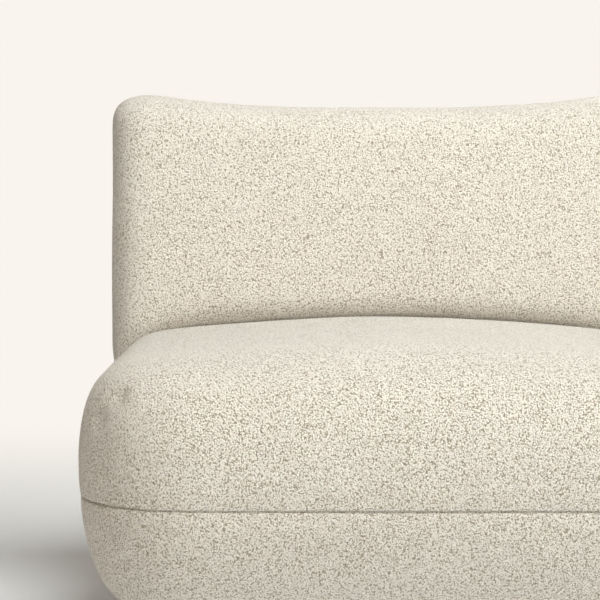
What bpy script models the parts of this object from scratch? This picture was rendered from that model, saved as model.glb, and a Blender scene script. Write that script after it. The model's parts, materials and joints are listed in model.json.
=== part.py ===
"""Two-seat armless sofa: two upholstered modules on timber frames with short turned wooden legs.

Units are metres, +Z is up, the front of the sofa faces -Y and the origin is on the floor in the
middle of the sofa. Each module is a pebble-shaped seat with a back block standing on its rear.
"""
import math

import bmesh
import bpy
from mathutils import Matrix, Vector

# ---------------------------------------------------------------- driving dimensions
MODULE_PITCH = 0.800        # distance between the two modules' centres
MODULE_W = 0.797            # one module, leaving a small slit between the two
SEAT_D = 0.880              # front to rear of the seat
SEAT_BOTTOM = 0.075         # underside of the seat, which is the height of the legs
SEAT_WIDEST = 0.2625        # height where the seat is widest
SEAT_TOP = 0.420            # top of the seat at the middle of a module
SEAM_Z = 0.2315             # height of the seam between the two seat covers
SEAT_CROWN = 0.163          # share of the upper half that the top loses towards the sides
CROWN_POWER = 1.6           # squareness of that fall
SEAT_CORNER = 0.160         # plan corner radius, and the width of the rounded edge
END_POWERS = (7.3, 2.0)     # squareness of the ends' upper profile, across and upwards
FRONT_POWERS = (3.6, 3.0)   # the same for the front and the rear
LOWER_POWERS = (3.6, 2.0)   # the same below the widest line, all round

BACK_FRONT = 0.204          # the back's front face at its top
BACK_REAR = 0.432           # the back's rear face
BACK_TOP = 0.7575           # top of the back's raised corners
BACK_BURIED = 0.024         # how far the back's form reaches below the seat's surface
BACK_SINK_MOST = 0.075      # the most that the back's foot follows the seat down
BACK_END_SINK = 0.030       # how much further the foot reaches down at the ends
BACK_RECLINE = 0.10         # rearward lean of the front face, metres per metre of height
BACK_ROUND = Vector((0.055, 0.095, 0.045))   # rounding along x, y and z
BACK_POWER = 2.4            # squareness of the back's rounding
BACK_DIP = 0.0205           # how far the top sags between its corners
BACK_PEAK_AT = 0.345        # distance of the corners' peaks from the module's middle
BACK_DIP_POWER = 2.75       # squareness of the sagging line

UNDER_OPENING = 0.55        # opening under a seat, as a share of its width and depth

GRID = 7                    # cuts along each edge of a soft form
COVER_T = 0.008             # cover with the fibre wadding behind it
FOAM_INSET = 0.0100         # from the outside of a seat cover to the foam
BACK_FOAM_INSET = 0.0190    # from the outside of a back cover to its foam
GAP = 0.0005                # clearance between touching pieces
SEAT_CLEAR = 0.0015         # clearance between a back and the seat it stands on

RAIL_T = 0.040              # thickness of the frame's timber
RAIL_BOTTOM = 0.0940        # underside of the frame
RAIL_TOP = 0.180            # top of the frame
FRAME_W = 0.540             # outside of the frame
FRAME_D = 0.620
POST = Vector((0.050, 0.030, 0.560))         # back post
POST_X = 0.200              # from the module's middle
PANEL = Vector((0.560, 0.012, 0.190))        # plywood inside the back
PANEL_Z = 0.550             # middle of the panel

BELT_W = 0.070              # elastic webbing
BELT_T = 0.003
BELT_YS = (-0.200, -0.050, 0.100)

DUST_T = 0.0010             # dust cover under the frame
DUST_MARGIN = 0.012         # how far it stays inside the frame's outline

LEG_TOP_R = 0.030
LEG_FOOT_R = 0.022
LEG_TOP = 0.0730
LEG_ROUND = 0.002
BOLT_R = 0.004
BOLT_CLEAR = 0.0006         # radial clearance of a bolt in its hole
LEG_BOLT = (0.045, 0.145)   # lowest and highest point of a leg bolt

LINK = Vector((0.340, 0.040, 0.003))         # steel plate under both modules
LINK_Y = 0.200
LINK_BOLT_TOP = 0.130
LINK_HEAD_R = 0.0075
LINK_HEAD_H = 0.0045

ROUND_SIDES = 20
SIDES = {"left": -1.0, "right": 1.0}
CORNERS = {
    "front_outer": (1, -1),
    "front_inner": (-1, -1),
    "rear_outer": (1, 1),
    "rear_inner": (-1, 1),
}

MATERIALS = {
    "boucle": ((0.76, 0.71, 0.61), 0.95, 0.0),
    "foam": ((0.85, 0.80, 0.55), 0.90, 0.0),
    "timber": ((0.62, 0.45, 0.27), 0.60, 0.0),
    "leg_wood": ((0.42, 0.26, 0.14), 0.45, 0.0),
    "webbing": ((0.20, 0.20, 0.20), 0.85, 0.0),
    "dust_cloth": ((0.05, 0.05, 0.05), 0.95, 0.0),
    "steel": ((0.60, 0.60, 0.60), 0.35, 1.0),
    "plate_paint": ((0.08, 0.08, 0.08), 0.50, 0.3),
}


# ---------------------------------------------------------------- scene helpers
def clear_scene():
    for obj in list(bpy.data.objects):
        bpy.data.objects.remove(obj, do_unlink=True)


def new_collection(name):
    collection = bpy.data.collections.new(name)
    bpy.context.scene.collection.children.link(collection)
    return collection


def make_material(name):
    colour, roughness, metallic = MATERIALS[name]
    material = bpy.data.materials.new(name)
    material.use_nodes = True
    shader = material.node_tree.nodes["Principled BSDF"]
    shader.inputs["Base Color"].default_value = (*colour, 1.0)
    shader.inputs["Roughness"].default_value = roughness
    shader.inputs["Metallic"].default_value = metallic
    return material


def add_object(name, bm, place, material=None):
    """Turn a bmesh into an object at a place, in the sofa's or the cutters' collection."""
    mesh = bpy.data.meshes.new(name)
    bm.to_mesh(mesh)
    bm.free()
    obj = bpy.data.objects.new(name, mesh)
    obj.location = place
    if material:
        mesh.materials.append(MADE[material])
        PARTS.objects.link(obj)
    else:
        obj.hide_render = True
        obj.display_type = "WIRE"
        CUTTERS.objects.link(obj)
    return obj


def box(name, size, place, material=None, bevel=0.0):
    bm = bmesh.new()
    bmesh.ops.create_cube(bm, size=1.0, matrix=Matrix.Diagonal((*size, 1.0)))
    obj = add_object(name, bm, place, material)
    if bevel:
        edge = obj.modifiers.new("edge", "BEVEL")
        edge.width = bevel
        edge.segments = 1
    return obj


def cylinder(name, radius, bottom, top, place, material=None, top_radius=None):
    bm = bmesh.new()
    bmesh.ops.create_cone(
        bm,
        cap_ends=True,
        segments=ROUND_SIDES,
        radius1=radius,
        radius2=radius if top_radius is None else top_radius,
        depth=top - bottom,
    )
    return add_object(name, bm, (place[0], place[1], (top + bottom) / 2), material)


def cut(obj, cutter):
    """Take a cutter's shape out of an object."""
    boolean = obj.modifiers.new("cut_" + cutter.name, "BOOLEAN")
    boolean.operation = "DIFFERENCE"
    boolean.object = cutter


def keep(obj, cutter):
    """Keep only what lies inside a cutter."""
    boolean = obj.modifiers.new("keep_" + cutter.name, "BOOLEAN")
    boolean.operation = "INTERSECT"
    boolean.object = cutter


def inset(obj, depth):
    """Move the whole surface inwards along its normals."""
    displace = obj.modifiers.new("inset", "DISPLACE")
    displace.mid_level = 0.0
    displace.strength = -depth


def hollow(obj, thickness):
    """Leave only a skin under the surface."""
    skin = obj.modifiers.new("skin", "SOLIDIFY")
    skin.thickness = thickness
    skin.offset = -1.0
    skin.use_even_offset = True


# ---------------------------------------------------------------- soft forms
def grid_cube():
    """A cube from -1 to 1 whose faces are even grids."""
    bm = bmesh.new()
    bmesh.ops.create_cube(bm, size=2.0)
    bmesh.ops.subdivide_edges(bm, edges=bm.edges[:], cuts=GRID, use_grid_fill=True)
    return bm


def clamp(value, limit):
    return max(-limit, min(limit, value))


def crown(x):
    """Height factor of the seat's upper half at a distance from the module's middle."""
    return 1.0 - SEAT_CROWN * abs(2 * x / MODULE_W) ** CROWN_POWER


def seat_powers(out, level):
    """Squareness of the rounded edge in the direction it faces, above or below the widest line."""
    if level < 0:
        return LOWER_POWERS
    front = (abs(out.y) / out.length) ** 2 if out.length > 0 else 0.0
    return [end + (face - end) * front for end, face in zip(END_POWERS, FRONT_POWERS)]


def seat_point(corner):
    """Place of a grid cube's point on the seat's pebble form."""
    half = Vector((MODULE_W / 2, SEAT_D / 2))
    flat = Vector((corner.x * half.x, corner.y * half.y))
    middle = Vector([clamp(f, h - SEAT_CORNER) for f, h in zip(flat, half)])
    out = flat - middle
    reach = max(abs(out.x), abs(out.y)) / SEAT_CORNER
    seam_level = (SEAM_Z - SEAT_WIDEST) / (SEAT_WIDEST - SEAT_BOTTOM)
    level = corner.z + seam_level * (1 - corner.z ** 2)
    turn = math.atan2(abs(level), reach)
    across_power, rise_power = seat_powers(out, level)
    across = SEAT_CORNER * math.cos(turn) ** (2 / across_power)
    rise = math.sin(turn) ** (2 / rise_power)
    place = middle + out.normalized() * across
    if level > 0:
        z = SEAT_WIDEST + (SEAT_TOP - SEAT_WIDEST) * rise * crown(place.x)
    else:
        z = SEAT_WIDEST - (SEAT_WIDEST - SEAT_BOTTOM) * rise
    return Vector((place.x, place.y, z))


def seat_height(x, y):
    """Height of the seat's upper surface over a point of the plan."""
    out = Vector((
        max(abs(x) - (MODULE_W / 2 - SEAT_CORNER), 0.0),
        max(abs(y) - (SEAT_D / 2 - SEAT_CORNER), 0.0),
    ))
    reach = min(out.length / SEAT_CORNER, 1.0)
    across_power, rise_power = seat_powers(out, 1.0)
    rise = (1 - reach ** across_power) ** (1 / rise_power)
    return SEAT_WIDEST + (SEAT_TOP - SEAT_WIDEST) * rise * crown(x)


def back_dip(x):
    """How far the back's top edge sags at a distance from the module's middle."""
    return BACK_DIP * (1 - min(abs(x) / BACK_PEAK_AT, 1.0) ** BACK_DIP_POWER)


def back_point(corner):
    """Place of a grid cube's point on the back block's form."""
    low = SEAT_TOP - BACK_BURIED
    half = Vector((MODULE_W / 2, (BACK_REAR - BACK_FRONT) / 2, (BACK_TOP - low) / 2))
    flat = Vector([c * h for c, h in zip(corner, half)])
    middle = Vector([clamp(f, h - r) for f, h, r in zip(flat, half, BACK_ROUND)])
    out = Vector([(f - m) / r for f, m, r in zip(flat, middle, BACK_ROUND)])
    length = sum(abs(o) ** BACK_POWER for o in out) ** (1 / BACK_POWER)
    place = middle + Vector([o / length * r for o, r in zip(out, BACK_ROUND)])
    up = place.z / half.z
    dip = back_dip(place.x) * max(up, 0.0)
    y = (BACK_FRONT + BACK_REAR) / 2 + place.y
    drop = max(seat_height(place.x, y) - SEAT_TOP, -BACK_SINK_MOST)
    sink = (drop - BACK_END_SINK * abs(place.x / half.x) ** 6) * max(-up, 0.0)
    lean = BACK_RECLINE * (place.z - half.z) * (1 - place.y / half.y) / 2
    return Vector((place.x, y + lean, low + half.z + place.z - dip + sink))


def soft_form(name, point, place, material, keep_faces=None):
    """An object in one of the soft forms, or the faces of it that are asked for."""
    bm = grid_cube()
    bmesh.ops.triangulate(bm, faces=bm.faces[:], quad_method="FIXED")
    if keep_faces:
        spare = [face for face in bm.faces if not keep_faces(face.calc_center_median())]
        bmesh.ops.delete(bm, geom=spare, context="FACES")
    for vert in bm.verts:
        vert.co = point(vert.co)
    obj = add_object(name, bm, place, material)
    obj.data.shade_smooth()
    return obj


# ---------------------------------------------------------------- module pieces
def make_covers(side, x, seat_form):
    upper = soft_form(
        side + "_seat_cover_upper", seat_point, (x, 0, 0), "boucle", lambda c: c.z > 0
    )
    hollow(upper, COVER_T)
    below = box(side + "_below_seam", (1, 1, 0.4), (x, 0, SEAM_Z + GAP / 2 - 0.2))
    cut(upper, below)
    lower = soft_form(
        side + "_seat_cover_lower", seat_point, (x, 0, 0), "boucle",
        lambda c: c.z < 0 and not (c.z < -0.99 and max(abs(c.x), abs(c.y)) < UNDER_OPENING),
    )
    hollow(lower, COVER_T)
    above = box(side + "_above_seam", (1, 1, 0.4), (x, 0, SEAM_Z - GAP / 2 + 0.2))
    cut(lower, above)
    back = soft_form(side + "_back_cover", back_point, (x, 0, 0), "boucle")
    hollow(back, COVER_T)
    cut(back, seat_form)
    return upper, lower, back


def make_foam(side, x, seat_form):
    deck = RAIL_TOP + BELT_T + 2 * GAP
    above = box(side + "_above_deck", (1, 1, 0.4), (x, 0, deck + 0.2))
    below = box(side + "_below_deck", (1, 1, 0.4), (x, 0, deck - GAP - 0.2))
    hole = box(side + "_frame_space", (FRAME_W + 2 * GAP, FRAME_D + 2 * GAP, 0.4), (x, 0, 0.1))
    seat = soft_form(side + "_seat_foam", seat_point, (x, 0, 0), "foam")
    inset(seat, FOAM_INSET)
    keep(seat, above)
    edge = soft_form(side + "_edge_foam", seat_point, (x, 0, 0), "foam")
    inset(edge, FOAM_INSET)
    keep(edge, below)
    cut(edge, hole)
    back = soft_form(side + "_back_foam", back_point, (x, 0, 0), "foam")
    inset(back, BACK_FOAM_INSET)
    cut(back, seat_form)
    return seat, edge, back


def make_frame(side, x):
    middle_z = (RAIL_TOP + RAIL_BOTTOM) / 2
    height = RAIL_TOP - RAIL_BOTTOM
    rails = {}
    for end, sign in (("front", -1), ("rear", 1)):
        place = (x, sign * (FRAME_D - RAIL_T) / 2, middle_z)
        rails[end] = box(f"{side}_{end}_rail", (FRAME_W, RAIL_T, height), place, "timber", 0.002)
    for end, sign in (("outer", SIDES[side]), ("inner", -SIDES[side])):
        place = (x + sign * (FRAME_W - RAIL_T) / 2, 0, middle_z)
        length = FRAME_D - 2 * RAIL_T - 2 * GAP
        rails[end] = box(f"{side}_{end}_side_rail", (RAIL_T, length, height), place, "timber", 0.002)
    return rails


def make_back_frame(side, x, seat_foam, upper_cover, back_foam):
    post_y = FRAME_D / 2 - RAIL_T - POST.y / 2 - GAP
    bottom = RAIL_BOTTOM + 0.012
    for end, sign in (("outer", SIDES[side]), ("inner", -SIDES[side])):
        place = (x + sign * POST_X, post_y, bottom + POST.z / 2)
        box(f"{side}_{end}_back_post", POST, place, "timber", 0.002)
        slot = box(f"{side}_{end}_post_slot", POST + Vector((2 * GAP, 2 * GAP, 0.02)), place)
        cut(seat_foam, slot)
        cut(upper_cover, slot)
    panel_y = post_y + POST.y / 2 + GAP + PANEL.y / 2
    box(side + "_back_panel", PANEL, (x, panel_y, PANEL_Z), "timber", 0.001)
    pocket_low, pocket_high = 0.30, bottom + POST.z + GAP
    pocket_y = (post_y - POST.y / 2 + panel_y + PANEL.y / 2) / 2
    pocket = box(
        side + "_back_pocket",
        (PANEL.x + 2 * GAP, POST.y + PANEL.y + 3 * GAP, pocket_high - pocket_low),
        (x, pocket_y, (pocket_high + pocket_low) / 2),
    )
    cut(back_foam, pocket)


def make_belts(side, x):
    for index, y in enumerate(BELT_YS, start=1):
        place = (x, y, RAIL_TOP + GAP + BELT_T / 2)
        box(f"{side}_webbing_{index}", (FRAME_W - 0.010, BELT_W, BELT_T), place, "webbing")


def make_dust_cover(side, x):
    size = (FRAME_W - 2 * DUST_MARGIN, FRAME_D - 2 * DUST_MARGIN, DUST_T)
    place = (x, 0, SEAT_BOTTOM - 2 * GAP - DUST_T / 2)
    return box(side + "_dust_cover", size, place, "dust_cloth")


def make_legs(side, x, rails, skins):
    """Four turned legs, each held by a bolt that runs up into the front or rear rail."""
    for corner, (outward, rearward) in CORNERS.items():
        place = (
            x + outward * SIDES[side] * (FRAME_W / 2 - 0.035),
            rearward * (FRAME_D - RAIL_T) / 2,
        )
        leg = cylinder(
            f"{side}_{corner}_leg", LEG_FOOT_R, 0.0, LEG_TOP, place, "leg_wood", LEG_TOP_R
        )
        edge = leg.modifiers.new("edge", "BEVEL")
        edge.width = LEG_ROUND
        edge.segments = 2
        edge.limit_method = "ANGLE"
        cylinder(f"{side}_{corner}_leg_bolt", BOLT_R, *LEG_BOLT, place, "steel")
        low, high = LEG_BOLT
        hole = cylinder(
            f"{side}_{corner}_leg_hole", BOLT_R + BOLT_CLEAR, low - GAP, high + GAP, place
        )
        rail = rails["front" if rearward < 0 else "rear"]
        for piece in (leg, rail, *skins):
            cut(piece, hole)


def make_module(side):
    x = SIDES[side] * MODULE_PITCH / 2
    seat_form = soft_form(side + "_seat_form", seat_point, (x, 0, 0), None)
    inset(seat_form, -SEAT_CLEAR)
    upper, lower, back_cover = make_covers(side, x, seat_form)
    seat_foam, edge_foam, back_foam = make_foam(side, x, seat_form)
    rails = make_frame(side, x)
    make_back_frame(side, x, seat_foam, upper, back_foam)
    make_belts(side, x)
    dust = make_dust_cover(side, x)
    make_legs(side, x, rails, (lower, dust))
    return rails, (lower, dust)


def make_links(modules):
    """Two steel plates bolted under the modules' inner side rails hold the modules together."""
    top = LEG_TOP
    bolt_x = MODULE_PITCH / 2 - (FRAME_W - RAIL_T) / 2
    for end, sign in (("front", -1), ("rear", 1)):
        y = sign * LINK_Y
        plate = box(f"{end}_link_plate", LINK, (0, y, top - LINK.z / 2), "plate_paint")
        for side, (rails, skins) in modules.items():
            place = (SIDES[side] * bolt_x, y)
            bolt = cylinder(
                f"{side}_{end}_link_bolt", BOLT_R, top - LINK.z - GAP - LINK_HEAD_H, LINK_BOLT_TOP,
                place, "steel",
            )
            head = cylinder(
                f"{side}_{end}_link_head", LINK_HEAD_R, top - LINK.z - GAP - LINK_HEAD_H,
                top - LINK.z - GAP, place,
            )
            join = bolt.modifiers.new("head", "BOOLEAN")
            join.operation = "UNION"
            join.object = head
            hole = cylinder(
                f"{side}_{end}_link_hole", BOLT_R + BOLT_CLEAR, 0.0, LINK_BOLT_TOP + GAP, place
            )
            for piece in (plate, rails["inner"], *skins):
                cut(piece, hole)


clear_scene()
PARTS = new_collection("sofa")
CUTTERS = new_collection("cutters")
MADE = {name: make_material(name) for name in MATERIALS}
make_links({side: make_module(side) for side in SIDES})
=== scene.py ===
"""Looks of a two-seat armless boucle sofa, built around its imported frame.

Units are metres and +Z is up. The sofa's front faces -Y and its left module is the one at -X.
Both modules are alike, so each soft form is made once for a module centred on X = 0, and each
side gets its own copy, mirrored for the right-hand module.
"""
import json
import math

import bmesh
import bpy
import numpy as np
from mathutils import Matrix, Vector, noise

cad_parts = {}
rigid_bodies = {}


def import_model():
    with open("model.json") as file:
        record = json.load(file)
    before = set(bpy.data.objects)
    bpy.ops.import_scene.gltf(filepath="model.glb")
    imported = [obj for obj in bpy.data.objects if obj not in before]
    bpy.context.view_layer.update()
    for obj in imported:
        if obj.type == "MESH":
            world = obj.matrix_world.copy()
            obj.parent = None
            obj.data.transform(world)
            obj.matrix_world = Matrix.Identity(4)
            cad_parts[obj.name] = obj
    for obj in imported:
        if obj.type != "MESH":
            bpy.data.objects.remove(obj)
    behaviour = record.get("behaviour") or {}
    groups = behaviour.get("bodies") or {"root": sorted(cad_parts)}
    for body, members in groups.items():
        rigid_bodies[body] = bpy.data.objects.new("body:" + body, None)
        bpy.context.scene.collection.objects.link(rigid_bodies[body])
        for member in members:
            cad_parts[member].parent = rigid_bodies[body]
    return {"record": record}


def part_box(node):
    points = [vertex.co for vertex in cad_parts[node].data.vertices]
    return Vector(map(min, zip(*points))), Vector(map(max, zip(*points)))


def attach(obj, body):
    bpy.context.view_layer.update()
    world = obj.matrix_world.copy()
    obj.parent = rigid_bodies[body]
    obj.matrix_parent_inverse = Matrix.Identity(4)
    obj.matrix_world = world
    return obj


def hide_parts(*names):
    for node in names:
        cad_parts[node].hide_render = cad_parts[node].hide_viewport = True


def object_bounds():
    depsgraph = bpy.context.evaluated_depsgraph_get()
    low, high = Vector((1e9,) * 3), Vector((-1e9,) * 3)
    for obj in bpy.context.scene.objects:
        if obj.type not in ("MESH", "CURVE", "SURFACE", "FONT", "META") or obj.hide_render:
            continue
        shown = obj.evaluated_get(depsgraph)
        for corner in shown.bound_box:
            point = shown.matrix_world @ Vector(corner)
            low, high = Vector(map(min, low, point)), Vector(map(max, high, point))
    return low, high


for startup_object in list(bpy.data.objects):
    bpy.data.objects.remove(startup_object, do_unlink=True)

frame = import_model()
cad_box = [list(corner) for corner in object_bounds()]
SCENE = bpy.context.scene
SIDES = {"left": -1.0, "right": 1.0}

# ---------------------------------------------------------------- places read from the frame
seat_low, seam_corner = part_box("left_seat_cover_lower")
upper_low, seat_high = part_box("left_seat_cover_upper")
back_low, back_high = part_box("left_back_cover")
MODULE_X = (seat_low[0] + seat_high[0]) / 2
SEAT_HALF_W = (seat_high[0] - upper_low[0]) / 2
SEAT_HALF_D = (seat_high[1] - upper_low[1]) / 2
SEAT_BOTTOM = seat_low[2]
SEAM_Z = upper_low[2]
SEAT_TOP = seat_high[2]
BACK_REAR = back_high[1]
BACK_TOP = back_high[2] - 0.003     # the back's top before its sag
BACK_HALF_W = (back_high[0] - back_low[0]) / 2
FLOOR_Z = cad_box[0][2]

# ---------------------------------------------------------------- seat form
SEAT_WIDEST = SEAM_Z + 0.031        # height where the seat is widest
SEAT_CORNER = 0.160                 # plan corner radius and width of the rounded edge
SEAT_CROWN = 0.163                  # share of the upper half lost towards the ends
CROWN_POWER = 1.6                   # squareness of that fall
END_POWERS = (7.3, 2.0)             # squareness of the ends' profile, across and upwards
FRONT_POWERS = (3.6, 3.0)           # the same for the front
LOWER_POWERS = (3.6, 2.0)           # the same below the widest line, all the way round

# ---------------------------------------------------------------- back form
BACK_FRONT = 0.204                  # the front face at its top
BACK_SPREAD = 0.004                 # how far the ends stand out past the CAD cover
BACK_BURIED = 0.012                 # how far the form reaches below the seat's top
BACK_SINK_MOST = 0.075              # the most that the foot follows the seat down
BACK_RECLINE = 0.10                 # rearward lean of the front face, metres per metre
BACK_END_SINK = 0.03                # how much deeper the foot reaches at the ends
BACK_END_POWER = 6                  # how close to the ends that starts
BACK_ROUND = Vector((0.055, 0.095, 0.045))
BACK_POWER = 2.4                    # squareness of the rounded edges
BACK_DIP = 0.0205                   # how far the top sags between its corners
BACK_PEAK_AT = 0.345                # distance of the corners' peaks from the middle
BACK_DIP_POWER = 2.75               # squareness of the sagging line

# ---------------------------------------------------------------- padding, seams and darts
SEAT_CUTS = 39                      # cuts across each face of the forms' grid cubes
BACK_CUTS = 31
CLOTH_FRAMES = 16
CLOTH_PRESSURE = 4.0
CLOTH_STIFFNESS = 15.0
CLOTH_BENDING = 0.5
FOAM_HOLD = 0.30                    # how firmly the padding holds the cover in place
FOAM_STIFFNESS = 1.0
CLOTH_MOST = 0.0018                 # most that the uneven swelling moves a point
SEAM_GATHER = 0.03                  # share by which the seam gathers the cloth
SEAM_GATHER_WIDTH = 0.012
GATHER_LEAST = 0.01                 # weaker pulls than this are left out
SEAM_DEPTH = 0.0036
SEAM_WIDTH = 0.0013
SEAM_LOOPS = (0.0, 0.45, 0.9, 1.5, 2.6)   # edge loops beside the seam, in seam widths
SEAM_PULL = 0.0012                  # shallow dip of the padding along the seam
SEAM_PULL_WIDTH = 0.012
DART = ((-0.3645, 0.3640, 0.334), (-0.3385, 0.3800, 0.362))   # ends of one corner's dart
DART_DEPTH = 0.0075
DART_MIDDLE = 0.45                  # depth between the dart's two ends, as a share
DART_WIDTH = 0.013
LUMP_HEIGHT = 0.0012
SEAT_LUMP = 0.16                    # size of the padding's lumps
BACK_LUMP = 0.15
TOUCH = 0.0008                      # where each module is pressed flat against the other

# ---------------------------------------------------------------- legs and underside
LEG_TAPER = 0.733                   # foot radius as a share of the top's
LEG_SIDES = 56
LEG_EASE = 0.0018                   # radius of the turned edges
LEG_EASE_STEPS = 5
LEG_BELLY = 0.0006
LEG_STEPS = 12
FOOT_FLAT = 0.93                    # flat middle of the foot, as a share of its radius
FELT_SHARE = 0.88                   # the felt pad's radius, as a share of the foot's
FELT_EDGE = 0.0006                  # bevel of the felt's lower edge
FELT_HEIGHT = 0.0030
DUST_GRID = (64, 72)                # faces across and along the cloth
DUST_LIE = 0.0003                   # how far the cloth lies below the CAD cloth's top
DUST_SAG = 0.0040
DUST_PUCKER = 0.0008
DUST_RIPPLE = 0.0004
STAPLE_PITCH = 0.056
STAPLE_INSET = 0.010                # distance of the staples from the cloth's edge
STAPLE_LIE = 0.0002                 # how far the crowns lie under the CAD cloth
STAPLE_HALF = 0.0050                # half the length of a staple's crown
STAPLE_RISE = 0.0016
STAPLE_BEND = 0.0004
STAPLE_THICK = 0.00045
STAPLE_HALF_WIDTH = 0.0006

# ---------------------------------------------------------------- stage and camera
STAGE_REACH = 16.0                  # half the stage's width, and how far it comes forward
WALL_Y = 12.0
WALL_TOP = 16.0
WALL_BEND = 3.0
WALL_STEPS = 16
GLOW_FROM, GLOW_TO = 0.6, 2.5       # where the floor starts and ends turning into the backdrop
FAR_FROM, FAR_TO = 6.0, 14.0        # the same, by distance from the sofa in any direction
BACKDROP = (0.947, 0.905, 0.847)
COOL = (0.975, 1.0, 0.985)
STRIP_SPREAD = math.radians(18.0)
CAMERA_PLACE = (-0.522, -2.919, 0.620)
CAMERA_DOWN = math.radians(3.21)
CAMERA_LENS = 128.3


# ---------------------------------------------------------------- forms
def clamp(value, limit):
    return max(-limit, min(limit, value))


def grid_cube(cuts):
    """A cube from -1 to 1 whose faces are even grids."""
    bm = bmesh.new()
    bmesh.ops.create_cube(bm, size=2.0)
    bmesh.ops.subdivide_edges(bm, edges=bm.edges[:], cuts=cuts, use_grid_fill=True)
    return bm


def mesh_of(bm, name):
    """Turn a finished bmesh into a mesh."""
    mesh = bpy.data.meshes.new(name)
    bm.to_mesh(mesh)
    bm.free()
    return mesh


def crown(x):
    """Height factor of the seat's upper half at a distance from the module's middle."""
    return 1.0 - SEAT_CROWN * abs(x / SEAT_HALF_W) ** CROWN_POWER


def seat_powers(out, level):
    """Squareness of the rounded edge in the direction it faces, above or below the widest line."""
    if level < 0:
        return LOWER_POWERS
    length = math.hypot(out.x, out.y)
    front = (abs(out.y) / length) ** 2 if length > 0 else 0.0
    return [a + (b - a) * front for a, b in zip(END_POWERS, FRONT_POWERS)]


def seat_point(corner):
    """Place of a grid cube's point on the seat's pebble form."""
    half = Vector((SEAT_HALF_W, SEAT_HALF_D))
    flat = Vector((corner.x * half.x, corner.y * half.y))
    middle = Vector([clamp(f, h - SEAT_CORNER) for f, h in zip(flat, half)])
    out = flat - middle
    reach = max(abs(out.x), abs(out.y)) / SEAT_CORNER
    seam_level = (SEAM_Z - SEAT_WIDEST) / (SEAT_WIDEST - SEAT_BOTTOM)
    level = corner.z + seam_level * (1 - corner.z ** 2)
    turn = math.atan2(abs(level), reach)
    across_power, rise_power = seat_powers(out, level)
    across = SEAT_CORNER * math.cos(turn) ** (2 / across_power)
    rise = math.sin(turn) ** (2 / rise_power)
    place = middle + out.normalized() * across
    if level > 0:
        z = SEAT_WIDEST + (SEAT_TOP - SEAT_WIDEST) * rise * crown(place.x)
    else:
        z = SEAT_WIDEST - (SEAT_WIDEST - SEAT_BOTTOM) * rise
    return Vector((place.x, place.y, z))


def seat_height(x, y):
    """Height of the seat's upper surface over a point of the plan."""
    out = Vector((
        max(abs(x) - (SEAT_HALF_W - SEAT_CORNER), 0.0),
        max(abs(y) - (SEAT_HALF_D - SEAT_CORNER), 0.0),
    ))
    reach = min(out.length / SEAT_CORNER, 1.0)
    across_power, rise_power = seat_powers(out, 1.0)
    rise = (1 - reach ** across_power) ** (1 / rise_power)
    return SEAT_WIDEST + (SEAT_TOP - SEAT_WIDEST) * rise * crown(x)


def back_dip(x):
    """How far the back's top edge sags at a distance from the module's middle."""
    return BACK_DIP * (1 - min(abs(x) / BACK_PEAK_AT, 1.0) ** BACK_DIP_POWER)


def back_point(corner):
    """Place of a grid cube's point on the back block's form."""
    low = SEAT_TOP - BACK_BURIED
    half = Vector((
        BACK_HALF_W + BACK_SPREAD, (BACK_REAR - BACK_FRONT) / 2, (BACK_TOP - low) / 2
    ))
    flat = Vector([c * h for c, h in zip(corner, half)])
    middle = Vector([clamp(f, h - r) for f, h, r in zip(flat, half, BACK_ROUND)])
    out = Vector([(f - m) / r for f, m, r in zip(flat, middle, BACK_ROUND)])
    length = sum(abs(o) ** BACK_POWER for o in out) ** (1 / BACK_POWER)
    place = middle + Vector([o / length * r for o, r in zip(out, BACK_ROUND)])
    up = place.z / half.z
    dip = back_dip(place.x) * max(up, 0.0)
    y = (BACK_FRONT + BACK_REAR) / 2 + place.y
    drop = max(seat_height(place.x, y) - SEAT_TOP, -BACK_SINK_MOST)
    sink = (drop - BACK_END_SINK * abs(place.x / half.x) ** BACK_END_POWER) * max(-up, 0.0)
    lean = BACK_RECLINE * (place.z - half.z) * (1 - place.y / half.y) / 2
    return Vector((place.x, y + lean, low + half.z + place.z - dip + sink))


def form_mesh(name, point, cuts):
    """A mesh of the form that point gives for a grid cube's points."""
    bm = grid_cube(cuts)
    for vert in bm.verts:
        vert.co = point(vert.co)
    return mesh_of(bm, name)


def vertex_places(mesh):
    places = np.empty(len(mesh.vertices) * 3)
    mesh.vertices.foreach_get("co", places)
    return places.reshape(-1, 3)


def vertex_normals(mesh):
    return np.array([vert.normal[:] for vert in mesh.vertices])


def set_places(mesh, places):
    mesh.vertices.foreach_set("co", places.ravel())
    mesh.update()


def evaluated_mesh(obj):
    graph = bpy.context.evaluated_depsgraph_get()
    return bpy.data.meshes.new_from_object(obj.evaluated_get(graph))


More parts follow.
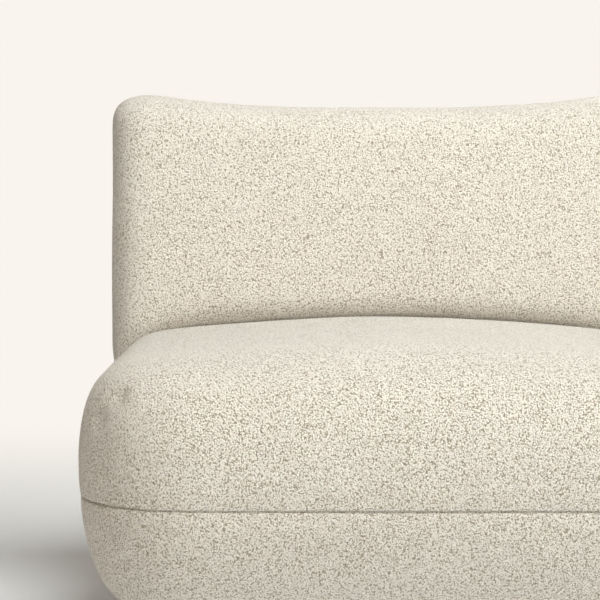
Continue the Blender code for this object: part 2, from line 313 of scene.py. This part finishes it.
def stuff(mesh, pull_line=None):
    """Inflate a form as sewn cloth, and add only the uneven part of its swelling.

    pull_line gives the strength, per point, with which a seam gathers the cloth.
    """
    base = vertex_places(mesh).copy()
    normals = vertex_normals(mesh)
    obj = add_piece(mesh.name + "_cloth", mesh.copy())
    cloth = obj.modifiers.new("cloth", "CLOTH")
    settings = cloth.settings
    settings.quality = 5
    settings.mass = 0.3
    settings.use_pressure = True
    settings.uniform_pressure_force = CLOTH_PRESSURE
    settings.tension_stiffness = CLOTH_STIFFNESS
    settings.compression_stiffness = CLOTH_STIFFNESS
    settings.shear_stiffness = CLOTH_STIFFNESS / 3
    settings.bending_stiffness = CLOTH_BENDING
    settings.effector_weights.gravity = 0.0
    foam = obj.vertex_groups.new(name="foam")
    foam.add(list(range(len(base))), FOAM_HOLD, "REPLACE")
    settings.vertex_group_mass = "foam"
    settings.pin_stiffness = FOAM_STIFFNESS
    if pull_line is not None:
        group = obj.vertex_groups.new(name="gathers")
        for index, weight in enumerate(pull_line):
            if weight > GATHER_LEAST:
                group.add([index], float(weight), "REPLACE")
        settings.vertex_group_shrink = "gathers"
        settings.shrink_min = 0.0
        settings.shrink_max = SEAM_GATHER
    for number in range(1, CLOTH_FRAMES + 1):
        SCENE.frame_set(number)
    swollen = vertex_places(evaluated_mesh(obj))
    SCENE.frame_set(1)
    bpy.data.objects.remove(obj, do_unlink=True)
    swell = ((swollen - base) * normals).sum(axis=1)
    uneven = np.clip(swell - np.median(swell), -CLOTH_MOST / 2, CLOTH_MOST)
    set_places(mesh, base + normals * uneven[:, None])
    return mesh


def smoother(mesh, levels):
    """Apply subdivision to a mesh."""
    obj = add_piece(mesh.name + "_fine", mesh)
    finer = obj.modifiers.new("finer", "SUBSURF")
    finer.levels = levels
    finer.render_levels = levels
    fine = evaluated_mesh(obj)
    fine.name = mesh.name + "_fine"
    bpy.data.objects.remove(obj, do_unlink=True)
    return fine


def slice_across(mesh, heights):
    """Add edge loops at the given heights, for a seam narrower than the mesh's own faces."""
    bm = bmesh.new()
    bm.from_mesh(mesh)
    for height in heights:
        bmesh.ops.bisect_plane(
            bm, geom=bm.verts[:] + bm.edges[:] + bm.faces[:], dist=1e-6,
            plane_co=(0.0, 0.0, height), plane_no=(0.0, 0.0, 1.0),
        )
    bm.to_mesh(mesh)
    bm.free()
    return mesh


def press_in(mesh, depth_at):
    """Move each point inwards by what depth_at gives for the places."""
    places = vertex_places(mesh)
    set_places(mesh, places - vertex_normals(mesh) * depth_at(places)[:, None])


def lump_depth(places, seed, size):
    """Shallow, broad unevenness of the padding."""
    shift = Vector((seed * 7.3, seed * 3.1, seed * 5.7))
    return np.array([
        LUMP_HEIGHT * noise.noise(Vector(place) / size + shift) for place in places
    ])


def segment_distance(places, start, end):
    """Distance of each place from the line between two points, and how far along it is."""
    start, end = np.array(start), np.array(end)
    run = end - start
    along = np.clip(((places - start) @ run) / (run @ run), 0.0, 1.0)
    nearest = start + along[:, None] * run
    return np.linalg.norm(places - nearest, axis=1), along


def seat_depth(places):
    """Seam groove, corner darts and lumps of the seat cover, as inward depth."""
    rise = np.abs(places[:, 2] - SEAM_Z)
    depth = SEAM_DEPTH * np.exp(-(rise / SEAM_WIDTH) ** 2)
    depth += SEAM_PULL * np.exp(-(rise / SEAM_PULL_WIDTH) ** 2)
    for x_sign in (-1, 1):
        for y_sign in (-1, 1):
            ends = [np.array(p) * (x_sign, y_sign, 1) for p in DART]
            off, along = segment_distance(places, *ends)
            share = DART_MIDDLE + (1 - DART_MIDDLE) * np.abs(2 * along - 1)
            depth += DART_DEPTH * share * np.exp(-(off / DART_WIDTH) ** 2)
    return depth + lump_depth(places, 1, SEAT_LUMP)


def back_depth(places):
    """Lumps of the back cover, as inward depth."""
    return lump_depth(places, 2, BACK_LUMP)


def make_seat_master():
    """The seat of a module centred on X = 0, padded, sewn and lumpy."""
    mesh = form_mesh("seat_master", seat_point, SEAT_CUTS)
    rise = np.abs(vertex_places(mesh)[:, 2] - SEAM_Z)
    mesh = smoother(stuff(mesh, np.exp(-(rise / SEAM_GATHER_WIDTH) ** 2)), 1)
    steps = [SEAM_WIDTH * share for share in SEAM_LOOPS]
    slice_across(mesh, sorted({SEAM_Z + sign * step for step in steps for sign in (-1, 1)}))
    press_in(mesh, seat_depth)
    return mesh


def make_back_master():
    """The back block of a module centred on X = 0."""
    mesh = smoother(stuff(form_mesh("back_master", back_point, BACK_CUTS)), 1)
    press_in(mesh, back_depth)
    return mesh


def add_piece(name, mesh, materials=()):
    obj = bpy.data.objects.new(name, mesh)
    SCENE.collection.objects.link(obj)
    for material in materials:
        mesh.materials.append(material)
    return obj


def module_copy(master, name, side):
    """A module's own copy of a soft form, mirrored for the right-hand module."""
    mesh = master.copy()
    mirror = Matrix.Diagonal((1.0 if side == "left" else -1.0, 1.0, 1.0, 1.0))
    shift = Matrix.Translation((-SIDES[side] * MODULE_X, 0.0, 0.0))
    mesh.transform(shift @ mirror)
    if side == "right":
        mesh.flip_normals()
    places = vertex_places(mesh)
    outward = SIDES[side] * places[:, 0]
    places[:, 0] = SIDES[side] * np.maximum(outward, TOUCH)
    set_places(mesh, places)
    mesh.shade_smooth()
    return add_piece(name, mesh, [BOUCLE])


# ---------------------------------------------------------------- materials
WAVE_SCALE = 0.314                  # wave texture scale that gives one band per metre


class Nodes:
    """Short helper for building one material's nodes."""

    def __init__(self, name):
        self.material = bpy.data.materials.new(name)
        self.material.use_nodes = True
        self.tree = self.material.node_tree
        self.shader = self.tree.nodes["Principled BSDF"]
        self.place = self.add("ShaderNodeTexCoord").outputs["Object"]

    def put(self, node, inputs):
        """Set a node's inputs, each from a plain value or from another node's output."""
        for key, value in inputs.items():
            if isinstance(value, bpy.types.NodeSocket):
                self.tree.links.new(value, node.inputs[key])
            else:
                node.inputs[key].default_value = value

    def add(self, kind, inputs=None, **settings):
        node = self.tree.nodes.new(kind)
        for key, value in settings.items():
            setattr(node, key, value)
        self.put(node, inputs or {})
        return node

    def cloudy(self, place, scale, detail, **more):
        """Soft variation around a half."""
        inputs = {"Vector": place, "Scale": scale, "Detail": detail, **more}
        return self.add("ShaderNodeTexNoise", inputs).outputs["Fac"]

    def bands(self, place, scale, distortion, detail, **settings):
        """Even waves along one axis, bent by a distortion."""
        inputs = {"Vector": place, "Scale": scale, "Distortion": distortion, "Detail": detail}
        return self.add("ShaderNodeTexWave", inputs, **settings).outputs["Fac"]

    def drawn(self, scale):
        """The piece's own coordinates, scaled along each axis."""
        return self.add("ShaderNodeMapping", {"Vector": self.place, "Scale": scale}).outputs[0]

    def joined(self, part, share, rest):
        """A share of one value on top of another."""
        inputs = {0: part, 1: share, 2: rest}
        return self.add("ShaderNodeMath", inputs, operation="MULTIPLY_ADD").outputs[0]

    def mapped(self, value, low, high, start=0.0, end=1.0, **settings):
        """Map a value from low and high to start and end."""
        inputs = {
            "Value": value, "From Min": low, "From Max": high, "To Min": start, "To Max": end,
        }
        return self.add("ShaderNodeMapRange", inputs, **settings).outputs[0]

    def ramp(self, factor, stops):
        node = self.add("ShaderNodeValToRGB", {"Fac": factor})
        elements = node.color_ramp.elements
        while len(elements) < len(stops):
            elements.new(1.0)
        for element, (place, colour) in zip(elements, stops):
            element.position = place
            element.color = (*colour, 1.0)
        return node.outputs["Color"]

    def finish(self, colour, roughness, height, strength, distance, **more):
        """Fill in the shader, and raise its surface by a height of at most distance metres."""
        bump = self.add(
            "ShaderNodeBump", {"Height": height, "Strength": strength, "Distance": distance}
        )
        self.put(self.shader, {
            "Base Color": colour, "Roughness": roughness, "Normal": bump.outputs["Normal"],
        })
        self.put(self.shader, {key.replace("_", " "): value for key, value in more.items()})
        return self.material


def boucle_material():
    """Cream boucle: short looped yarns that lie every way, with painted shade that darkens the
    small gaps between them.
    """
    nodes = Nodes("boucle")
    wander = nodes.add(
        "ShaderNodeTexNoise", {"Vector": nodes.place, "Scale": 150.0, "Detail": 1.0}
    ).outputs["Color"]
    push = nodes.add(
        "ShaderNodeVectorMath", {0: wander, 1: (0.0022, 0.0022, 0.0022)}, operation="MULTIPLY"
    ).outputs[0]
    bent = nodes.add(
        "ShaderNodeVectorMath", {0: nodes.place, 1: push}, operation="ADD"
    ).outputs[0]
    loops = nodes.add(
        "ShaderNodeTexVoronoi", {"Vector": bent, "Scale": 460.0, "Smoothness": 0.3},
        feature="SMOOTH_F1",
    ).outputs["Distance"]
    yarn = nodes.cloudy(bent, 800.0, 1.0, Roughness=0.45)
    height = nodes.joined(loops, -0.75, yarn)
    patches = nodes.cloudy(nodes.place, 9.0, 2.0)
    # Painted shade: the dark stop of the colour ramp darkens the gaps between the loops for the
    # shade that falls in them. The faint patches are the cloth's own uneven tone.
    tone_and_gap_shade = nodes.mapped(nodes.joined(patches, 0.04, height), -0.08, 0.42)
    colour = nodes.ramp(tone_and_gap_shade, [
        (0.0, (0.370, 0.305, 0.220)),
        (0.40, (0.840, 0.785, 0.695)),
        (1.0, (0.970, 0.930, 0.865)),
    ])
    return nodes.finish(
        colour, 0.95, height, 1.0, 0.0034,
        Specular_IOR_Level=0.15, Sheen_Weight=0.45, Sheen_Roughness=0.4,
    )


def wood_material(name, along, stops, roughness, coat=0.0):
    """Wood whose grain runs along one axis, with growth bands and fine fibres."""
    nodes = Nodes(name)
    squeeze = Vector((1.0, 1.0, 1.0))
    squeeze["XYZ".index(along)] = 0.08
    grain = nodes.drawn(squeeze)
    wander = nodes.cloudy(grain, 9.0, 3.0)
    bands = nodes.add(
        "ShaderNodeTexWave",
        {"Vector": grain, "Scale": 22.0, "Distortion": 6.0, "Detail": 3.0, "Detail Scale": 1.6},
        wave_type="RINGS", rings_direction=along, wave_profile="SIN",
    ).outputs["Fac"]
    fibres = nodes.cloudy(grain, 700.0, 4.0, Roughness=0.6)
    shade = nodes.joined(fibres, 0.55, nodes.joined(bands, 0.45, wander))
    colour = nodes.ramp(nodes.mapped(shade, 0.45, 1.35), stops)
    gloss = nodes.mapped(fibres, 0.0, 1.0, roughness - 0.08, roughness + 0.10)
    return nodes.finish(
        colour, gloss, fibres, 0.25, 0.0006, Coat_Weight=coat, Coat_Roughness=0.25
    )


def plywood_material():
    """Birch plywood: thin plies across Y with alternating grain, and a faint face figure."""
    nodes = Nodes("plywood")
    plies = nodes.bands(
        nodes.place, 130.0, 0.3, 1.0, wave_type="BANDS", bands_direction="Y", wave_profile="TRI"
    )
    figure = nodes.cloudy(nodes.drawn((0.1, 1.0, 1.0)), 120.0, 5.0, Roughness=0.6)
    colour = nodes.ramp(nodes.joined(plies, 0.35, figure), [
        (0.25, (0.42, 0.28, 0.15)), (0.6, (0.66, 0.50, 0.32)), (0.9, (0.76, 0.62, 0.43)),
    ])
    return nodes.finish(colour, 0.65, figure, 0.2, 0.0005)


def foam_material():
    """Open-cell upholstery foam, a little yellowed in patches."""
    nodes = Nodes("foam")
    cells = nodes.add(
        "ShaderNodeTexVoronoi", {"Vector": nodes.place, "Scale": 900.0}
    ).outputs["Distance"]
    patches = nodes.cloudy(nodes.place, 12.0, 3.0)
    colour = nodes.ramp(nodes.joined(cells, 0.5, patches), [
        (0.3, (0.62, 0.55, 0.34)), (0.6, (0.78, 0.72, 0.50)), (0.9, (0.86, 0.82, 0.64)),
    ])
    return nodes.finish(colour, 0.95, cells, 0.5, 0.001)


def woven_material(name, dark, light, pitch, roughness):
    """Plain-woven tape: yarns over and under each other along X and Y."""
    nodes = Nodes(name)
    warp, weft = [
        nodes.bands(
            nodes.place, WAVE_SCALE / pitch, 0.6, 1.0,
            wave_type="BANDS", bands_direction=direction, wave_profile="SIN",
        )
        for direction in "XY"
    ]
    weave = nodes.add("ShaderNodeMath", {0: warp, 1: weft}, operation="MULTIPLY").outputs[0]
    lint = nodes.cloudy(nodes.place, 260.0, 4.0)
    colour = nodes.ramp(nodes.joined(lint, 0.6, weave), [(0.2, dark), (1.0, light)])
    return nodes.finish(colour, roughness, weave, 0.5, 0.0006)


def felted_material(name, dark, light, scale):
    """Pressed fibres, as in the dust cover's non-woven cloth and the felt under the legs."""
    nodes = Nodes(name)
    fibres = nodes.cloudy(nodes.place, scale, 5.0, Roughness=0.7, Distortion=1.5)
    dots = nodes.add(
        "ShaderNodeTexVoronoi", {"Vector": nodes.place, "Scale": scale * 0.8, "Randomness": 0.2}
    ).outputs["Distance"]
    shade = nodes.joined(dots, 0.4, fibres)
    colour = nodes.ramp(shade, [(0.3, dark), (0.9, light)])
    return nodes.finish(colour, 0.95, shade, 0.4, 0.0006)


def metal_material(name, dark, light, roughness, metallic):
    """Plated or painted steel with faint blotches and small scratches."""
    nodes = Nodes(name)
    blotches = nodes.cloudy(nodes.place, 60.0, 6.0, Roughness=0.65)
    scratches = nodes.cloudy(nodes.drawn((0.15, 1.0, 1.0)), 900.0, 2.0)
    colour = nodes.ramp(blotches, [(0.3, dark), (0.7, light)])
    gloss = nodes.mapped(blotches, 0.3, 0.7, roughness - 0.08, roughness + 0.12)
    return nodes.finish(colour, gloss, scratches, 0.08, 0.0002, Metallic=metallic)


PINE = ((0.0, (0.50, 0.32, 0.16)), (0.5, (0.68, 0.49, 0.28)), (1.0, (0.78, 0.61, 0.38)))
OAK = ((0.0, (0.150, 0.078, 0.036)), (0.5, (0.270, 0.150, 0.074)), (1.0, (0.375, 0.225, 0.120)))
BOUCLE = boucle_material()
LEG_WOOD = wood_material("leg_wood", "Z", OAK, 0.42, coat=0.25)
TIMBER = {along: wood_material("timber_" + along.lower(), along, PINE, 0.65) for along in "XYZ"}
PLYWOOD = plywood_material()
FELT = felted_material("felt", (0.10, 0.095, 0.09), (0.22, 0.21, 0.20), 500.0)
DUST_CLOTH = felted_material("dust_cloth", (0.010, 0.010, 0.011), (0.045, 0.045, 0.048), 420.0)
PLATED = metal_material("plated_steel", (0.50, 0.50, 0.49), (0.66, 0.65, 0.62), 0.34, 1.0)
FRAME_MATERIALS = {
    "foam": foam_material(),
    "webbing": woven_material("webbing", (0.015, 0.015, 0.016), (0.09, 0.09, 0.095), 0.002, 0.85),
    "steel": PLATED,
    "plate_paint": metal_material(
        "plate_paint", (0.020, 0.020, 0.021), (0.040, 0.040, 0.042), 0.48, 0.0
    ),
}


# ---------------------------------------------------------------- legs, dust covers and frame
def bridge(bm, rings):
    """Join rings of points, each as long as the next, into one closed skin."""
    for low, high in zip(rings, rings[1:]):
        for i in range(len(low)):
            j = (i + 1) % len(low)
            bm.faces.new((low[i], low[j], high[j], high[i]))
    bm.faces.new(rings[0][::-1])
    bm.faces.new(rings[-1])


def lathe(rings, sides):
    """A turned solid from (radius, height) rings, closed at both ends."""
    bm = bmesh.new()
    rows = []
    for radius, height in rings:
        rows.append([
            bm.verts.new((
                radius * math.cos(2 * math.pi * i / sides),
                radius * math.sin(2 * math.pi * i / sides),
                height,
            ))
            for i in range(sides)
        ])
    bridge(bm, rows)
    return bm


def make_leg(node):
    """A turned leg with eased edges and a felt pad under its foot."""
    low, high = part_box(node)
    top, height = (high[0] - low[0]) / 2, high[2] - low[2]
    foot = top * LEG_TAPER
    felt = foot * FELT_SHARE
    flat = foot * FOOT_FLAT
    rings = [
        (felt - FELT_EDGE, 0.0), (felt, FELT_EDGE), (felt, FELT_HEIGHT), (flat, FELT_HEIGHT)
    ]
    turns = [math.pi / 2 * step / LEG_EASE_STEPS for step in range(1, LEG_EASE_STEPS + 1)]
    for turn in turns:
        rings.append((
            flat + LEG_EASE * math.sin(turn), FELT_HEIGHT + LEG_EASE * (1 - math.cos(turn))
        ))
    start_r, start_z = rings[-1]
    for step in range(1, LEG_STEPS + 1):
        share = step / LEG_STEPS
        rings.append((
            start_r + (top - start_r) * share + LEG_BELLY * math.sin(math.pi * share),
            start_z + (height - LEG_EASE - start_z) * share,
        ))
    for turn in turns:
        rings.append((
            top - LEG_EASE * (1 - math.cos(turn)), height - LEG_EASE * (1 - math.sin(turn))
        ))
    mesh = mesh_of(lathe(rings, LEG_SIDES), node + "_turned")
    leg = add_piece(node + "_turned", mesh, [LEG_WOOD, FELT])
    for face in mesh.polygons:
        face.material_index = 1 if face.center.z < FELT_HEIGHT else 0
        face.use_smooth = abs(face.normal.z) < 0.98
    leg.location = ((low[0] + high[0]) / 2, (low[1] + high[1]) / 2, low[2])
    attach(leg, "root")
    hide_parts(node)


def add_staple(bm, place, turn):
    """One staple: its flat crown, with both ends bent up into the wood."""
    half, bend = STAPLE_HALF, STAPLE_BEND
    path = [
        (-half, STAPLE_RISE), (-half, bend), (-half + bend, 0.0),
        (half - bend, 0.0), (half, bend), (half, STAPLE_RISE),
    ]
    rings = []
    for index, (x, z) in enumerate(path):
        before, after = path[max(index - 1, 0)], path[min(index + 1, len(path) - 1)]
        along = Vector((after[0] - before[0], after[1] - before[1])).normalized()
        across = Vector((-along.y, along.x)) * STAPLE_THICK / 2
        ring = []
        for side, sign in ((-1, -1), (1, -1), (1, 1), (-1, 1)):
            point = Vector((x + across.x * sign, side * STAPLE_HALF_WIDTH, z + across.y * sign))
            point.rotate(turn)
            ring.append(bm.verts.new(point + place))
        rings.append(ring)
    bridge(bm, rings)


def dust_cloth_mesh(name, middle, half, top):
    """A flat cloth that sags a little and puckers between its staples."""
    columns, rows = DUST_GRID
    bm = bmesh.new()
    grid = []
    for j in range(rows + 1):
        row = []
        for i in range(columns + 1):
            u, v = 2 * i / columns - 1, 2 * j / rows - 1
            sag = DUST_SAG * ((1 - u * u) * (1 - v * v)) ** 1.5
            edge = max(abs(u), abs(v)) ** 12
            run = (v * half.y if abs(u) > abs(v) else u * half.x) / STAPLE_PITCH
            pucker = DUST_PUCKER * edge * (0.5 - 0.5 * math.cos(2 * math.pi * run))
            ripple = DUST_RIPPLE * noise.noise(Vector((u * 5, v * 6, middle.x)))
            z = top - DUST_LIE - sag - pucker + ripple * (1 - edge)
            row.append(bm.verts.new((middle.x + u * half.x, middle.y + v * half.y, z)))
        grid.append(row)
    for a, b in zip(grid, grid[1:]):
        for i in range(columns):
            bm.faces.new((a[i], b[i], b[i + 1], a[i + 1]))
    mesh = mesh_of(bm, name)
    mesh.shade_smooth()
    return mesh


def staples_mesh(name, middle, half, low):
    """The staples along the dust cover's four edges."""
    bm = bmesh.new()
    inset = half.xy - Vector((STAPLE_INSET, STAPLE_INSET))
    for axis, reach in enumerate(inset):
        count = int(reach / STAPLE_PITCH)
        turn = Matrix.Rotation(math.pi / 2 * axis, 3, "Z")
        for sign in (-1, 1):
            for step in range(-count, count + 1):
                place = Vector((middle.x, middle.y, low - STAPLE_LIE))
                place[axis] += step * STAPLE_PITCH
                place[1 - axis] += sign * inset[1 - axis]
                add_staple(bm, place, turn)
    return mesh_of(bm, name)


def make_dust_cover(node):
    """Thin black cloth stapled under the frame."""
    low, high = (Vector(corner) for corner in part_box(node))
    middle, half = (low + high) / 2, (high - low) / 2
    mesh = dust_cloth_mesh(node + "_cloth", middle, half, high.z)
    cloth = add_piece(node + "_cloth", mesh, [DUST_CLOTH])
    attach(cloth, "root")
    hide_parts(node)
    mesh = staples_mesh(node + "_staples", middle, half, low.z)
    staples = add_piece(node + "_staples", mesh, [PLATED])
    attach(staples, "root")


def frame_material(node, node_slot):
    """Material of a piece that keeps its CAD shape; wood grain runs along its longest side."""
    if node_slot != "timber":
        return FRAME_MATERIALS[node_slot]
    if "panel" in node:
        return PLYWOOD
    low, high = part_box(node)
    spans = [end - start for start, end in zip(low, high)]
    return TIMBER["XYZ"[spans.index(max(spans))]]


def make_upholstery(side):
    """The seat and back of one module, as copies of the master forms."""
    seat = module_copy(seat_master, side + "_seat_upholstery", side)
    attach(seat, "root")
    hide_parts(side + "_seat_cover_upper", side + "_seat_cover_lower")
    back = module_copy(back_master, side + "_back_upholstery", side)
    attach(back, "root")
    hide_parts(side + "_back_cover")


# ---------------------------------------------------------------- pieces
seat_master = make_seat_master()
back_master = make_back_master()
for side in SIDES:
    make_upholstery(side)

slots = {piece["node"]: piece["material_slot"] for piece in frame["record"]["subparts"]}
for node, node_slot in slots.items():
    if node_slot == "leg_wood":
        make_leg(node)
    elif node_slot == "dust_cloth":
        make_dust_cover(node)
    elif node_slot != "boucle":
        mesh = bpy.data.objects[node].data
        mesh.materials.clear()
        mesh.materials.append(frame_material(node, node_slot))


# ---------------------------------------------------------------- stage, light and camera
def stage_material():
    """Matt pale floor that turns into an evenly lit backdrop behind and far from the sofa."""
    nodes = Nodes("stage_paint")
    nodes.put(nodes.shader, {
        "Base Color": (0.84, 0.86, 0.88, 1.0), "Roughness": 0.9, "Specular IOR Level": 0.1,
    })
    rearward = nodes.add("ShaderNodeSeparateXYZ", {"Vector": nodes.place}).outputs["Y"]
    length = nodes.add(
        "ShaderNodeVectorMath", {0: nodes.place}, operation="LENGTH"
    ).outputs["Value"]
    behind = nodes.mapped(rearward, GLOW_FROM, GLOW_TO, interpolation_type="SMOOTHSTEP")
    distant = nodes.mapped(length, FAR_FROM, FAR_TO, interpolation_type="SMOOTHSTEP")
    share = nodes.add("ShaderNodeMath", {0: behind, 1: distant}, operation="MAXIMUM").outputs[0]
    glow = nodes.add("ShaderNodeEmission", {"Color": (*BACKDROP, 1.0), "Strength": 1.0})
    mix = nodes.add(
        "ShaderNodeMixShader", {0: share, 1: nodes.shader.outputs[0], 2: glow.outputs[0]}
    )
    nodes.put(nodes.tree.nodes["Material Output"], {"Surface": mix.outputs[0]})
    return nodes.material


def build_stage():
    """A pale floor that curves up into a wall, well behind where any camera stands."""
    profile = [(-STAGE_REACH, 0.0)]
    for step in range(WALL_STEPS + 1):
        angle = math.pi / 2 * step / WALL_STEPS
        profile.append((
            WALL_Y - WALL_BEND * (1 - math.sin(angle)), WALL_BEND * (1 - math.cos(angle))
        ))
    profile.append((WALL_Y, WALL_TOP))
    bm = bmesh.new()
    rows = [
        [bm.verts.new((x, y, z + FLOOR_Z)) for y, z in profile]
        for x in (-STAGE_REACH, STAGE_REACH)
    ]
    for i in range(len(profile) - 1):
        bm.faces.new((rows[0][i], rows[1][i], rows[1][i + 1], rows[0][i + 1]))
    mesh = mesh_of(bm, "stage")
    mesh.shade_smooth()
    stage = add_piece("stage", mesh, [stage_material()])


def area_light(name, place, aim, size, power, colour, strip=0.0):
    """A round light, or a narrow-angled strip of the given height."""
    light = bpy.data.lights.new(name, "AREA")
    light.shape = "DISK"
    light.size = size
    if strip:
        light.shape = "RECTANGLE"
        light.size_y = strip
        light.spread = STRIP_SPREAD
    light.energy = power
    light.color = colour
    obj = bpy.data.objects.new(name, light)
    obj.location = place
    obj.rotation_euler = (Vector(aim) - Vector(place)).to_track_quat("-Z", "Y").to_euler()
    SCENE.collection.objects.link(obj)


def build_light():
    """Soft cool light from the right and above, a strip on the backs and weak warm light."""
    area_light("key", (4.0, -4.6, 3.8), (0.0, 0.0, 0.3), 3.2, 294.0, COOL)
    area_light("fill", (-2.6, -3.3, 0.75), (-0.5, 0.0, 0.25), 1.4, 19.5, (1.0, 0.81, 0.61))
    area_light("top", (0.4, -1.2, 3.4), (0.0, 0.0, 0.4), 2.0, 104.0, COOL)
    area_light("back", (0.4, -3.6, 1.7), (0.1, 0.2, 0.56), 2.2, 1.3, (0.975, 1.0, 0.96), 0.3)
    world = bpy.data.worlds.new("studio")
    world.use_nodes = True
    background = world.node_tree.nodes["Background"]
    background.inputs["Color"].default_value = (1.0, 0.84, 0.66, 1.0)
    background.inputs["Strength"].default_value = 0.15
    seen = world.node_tree.nodes.new("ShaderNodeBackground")
    seen.inputs["Color"].default_value = (*BACKDROP, 1.0)
    rays = world.node_tree.nodes.new("ShaderNodeLightPath")
    mix = world.node_tree.nodes.new("ShaderNodeMixShader")
    output = world.node_tree.nodes["World Output"]
    links = world.node_tree.links
    links.new(rays.outputs["Is Camera Ray"], mix.inputs[0])
    links.new(background.outputs[0], mix.inputs[1])
    links.new(seen.outputs[0], mix.inputs[2])
    links.new(mix.outputs[0], output.inputs["Surface"])
    SCENE.world = world
    SCENE.view_settings.view_transform = "Standard"


def build_camera():
    camera = bpy.data.cameras.new("camera")
    camera.lens = CAMERA_LENS
    camera.sensor_width = 36.0
    obj = bpy.data.objects.new("camera", camera)
    obj.location = CAMERA_PLACE
    obj.rotation_euler = (math.pi / 2 - CAMERA_DOWN, 0.0, 0.0)
    SCENE.collection.objects.link(obj)
    SCENE.camera = obj


build_stage()
build_light()
build_camera()
